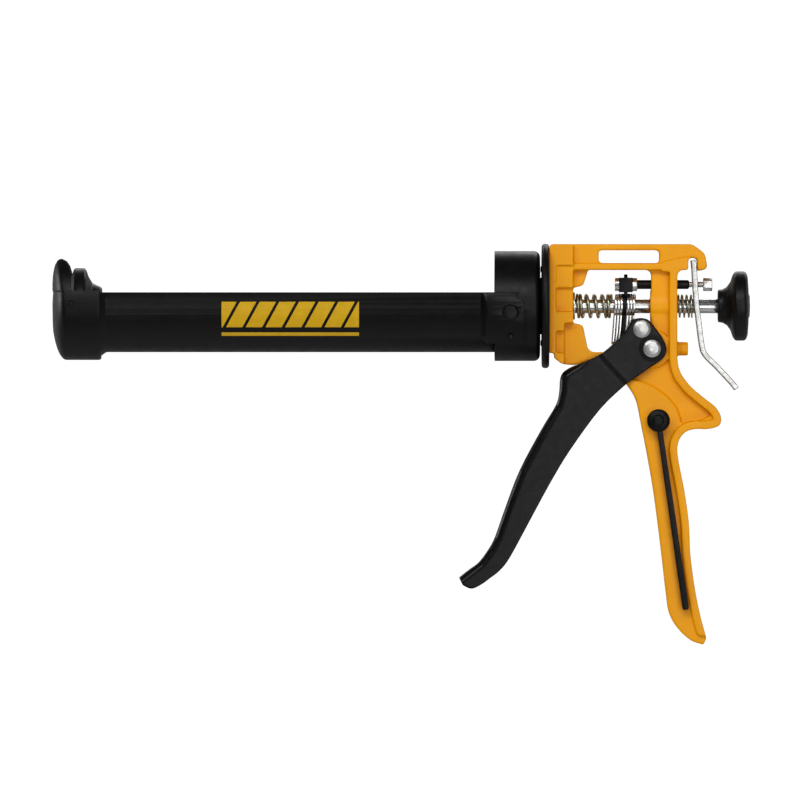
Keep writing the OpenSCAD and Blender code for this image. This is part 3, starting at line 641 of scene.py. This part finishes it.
# ---- Drive plates --------------------------------------------------------
# Hardened steel plates in two stacks lean on the rod and bite it. A carrier
# plate between them runs on the guide rod with a plated bush.
plate_steel = bright_zinc("plate_steel", shade=0.72, rough=(0.18, 0.3))
for node in ("drive_plates_front", "drive_plates_rear"):
    part = eased(node, node + "_stamped", width=0.00025)
    coat(part, plate_steel)
    put_on(part, "drive", node)
black_oxide = satin_black("black_oxide", shade=0.0012, rough=(0.34, 0.46), grain=1600, depth=0.00002)
carrier = eased("carrier_plate", "carrier_plate_stamped", width=0.00025)
coat(carrier, black_oxide)
put_on(carrier, "drive", "carrier_plate")
bush = eased("carrier_bush", "carrier_bush_turned", width=0.0002)
coat(bush, zinc)
put_on(bush, "drive", "carrier_bush")


# ---- Drive spring --------------------------------------------------------
# A wound wire spring round the rod returns the drive plates and the trigger.
# Its end coils are closed, and a washer seats it on the frame's head.
DRIVE_WIRE = 0.00165
STEPS_PER_TURN = 48
WIRE_SIDES = 14
# The closed coils' pitch, as a multiple of the wire, and how far a change of pitch is blurred
CLOSED_PITCH = 1.02
BLUR_TURNS = 0.12


def spring_passivated():
    finish = Finish("spring_passivated")
    stain = finish.ranged(finish.noise(260, 3), 0, 1)
    finish.colour(finish.between(stain, (0.5, 0.47, 0.33), (0.33, 0.34, 0.24)))
    finish.rough(finish.ranged(finish.noise(700, 3), 0.24, 0.4))
    finish.set(Metallic=1)
    finish.bump((finish.noise(1500, 3), 0.00002))
    return finish.material


spring_wire = spring_passivated()


def wire_spring(name, start, end, outer, wire, turns, closed):
    """A spring along X from start to end: open turns, and closed ones that touch at each end."""
    total = turns + 2 * closed
    tight = wire * CLOSED_PITCH
    pitch = (end - start - wire - 2 * closed * tight) / turns
    coil = (outer - wire) / 2

    def rise(t):
        in_closed = min(t, closed) + max(t - total + closed, 0)
        return in_closed * tight + min(max(t - closed, 0), turns) * pitch

    count = ceil(total * STEPS_PER_TURN)
    verts, faces = [], []
    for i in range(count + 1):
        t = i * total / count
        before, after = max(t - BLUR_TURNS, 0), min(t + BLUR_TURNS, total)
        x = start + wire / 2 + (rise(before) + 2 * rise(t) + rise(after)) / 4
        radial = Vector((0, cos(tau * t), sin(tau * t)))
        lean = atan2(pitch if closed < t < total - closed else tight, tau * coil)
        tangent = Vector((sin(lean), -cos(lean) * sin(tau * t), cos(lean) * cos(tau * t)))
        side = tangent.cross(radial).normalized()
        middle = radial * coil + Vector((x, 0, 0))
        for s in range(WIRE_SIDES):
            a = tau * s / WIRE_SIDES
            verts.append(middle + (radial * cos(a) + side * sin(a)) * wire / 2)
    for i in range(count):
        for s in range(WIRE_SIDES):
            a, b = i * WIRE_SIDES + s, i * WIRE_SIDES + (s + 1) % WIRE_SIDES
            faces.append((a, b, b + WIRE_SIDES, a + WIRE_SIDES))
    faces.append(tuple(range(WIRE_SIDES))[::-1])
    faces.append(tuple(count * WIRE_SIDES + s for s in range(WIRE_SIDES)))
    mesh = bpy.data.meshes.new(name)
    mesh.from_pydata([tuple(v) for v in verts], [], faces)
    mesh.update()
    spring = new_piece(name, mesh)
    shade_smooth(spring, angle=50)
    return spring


low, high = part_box("drive_spring")
drive_spring = wire_spring(
    "drive_spring_wound", low.x, high.x, outer=high.y - low.y, wire=DRIVE_WIRE, turns=3.2, closed=1.6
)
coat(drive_spring, spring_wire)
put_on(drive_spring, "handle", "drive_spring")
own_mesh(drive_spring)

spring_seat = eased("spring_washer", "spring_washer_stamped", width=0.0002)
coat(spring_seat, zinc)
put_on(spring_seat, "handle", "spring_washer")


# ---- Guide rod and adjusting screw ---------------------------------------
# A black steel rod in the rear wall keeps the carrier upright. The screw in
# its tapped end, with a plated hexagon head, sets how far the lever stands.
guide = eased("guide_rod", "guide_rod_turned", width=0.0003)
coat(guide, black_oxide)
put_on(guide, "handle", "guide_rod")
screw = eased("adjusting_screw", "adjusting_screw_plated", width=0.0003)
coat(screw, zinc)
put_on(screw, "handle", "adjusting_screw")


# ---- Release lever -------------------------------------------------------
# A zinc-plated strip hangs in the slot under the top bar's hook. Pushed by
# the thumb, it tips the rod free; a light spring holds it back.
LEVER_WIRE = 0.0009

lever = recast("release_lever", "release_lever_bent", grid=0.00032, rounds=5, keep=0.4)
coat(lever, bright_zinc("lever_zinc", shade=0.54, depth=0.00006))
put_on(lever, "lever", "release_lever")

low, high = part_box("lever_spring")
lever_spring = wire_spring(
    "lever_spring_wound", low.x, high.x, outer=high.y - low.y, wire=LEVER_WIRE, turns=2.6, closed=0.6
)
coat(lever_spring, spring_wire)
put_on(lever_spring, "handle", "lever_spring")
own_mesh(lever_spring)


# ---- Seal pin ------------------------------------------------------------
# A black pin folds out of the grip to pierce a cartridge's inner seal. It
# turns on a black rivet in the grip's left side.
for node, width in (("seal_pin", 0.0003), ("seal_pin_head", 0.0004)):
    part = eased(node, node + "_black", width)
    coat(part, black_oxide)
    put_on(part, "pin", node)
rivet = eased("pin_rivet", "pin_rivet_black", width=0.0003)
coat(rivet, black_oxide)
put_on(rivet, "handle", "pin_rivet")
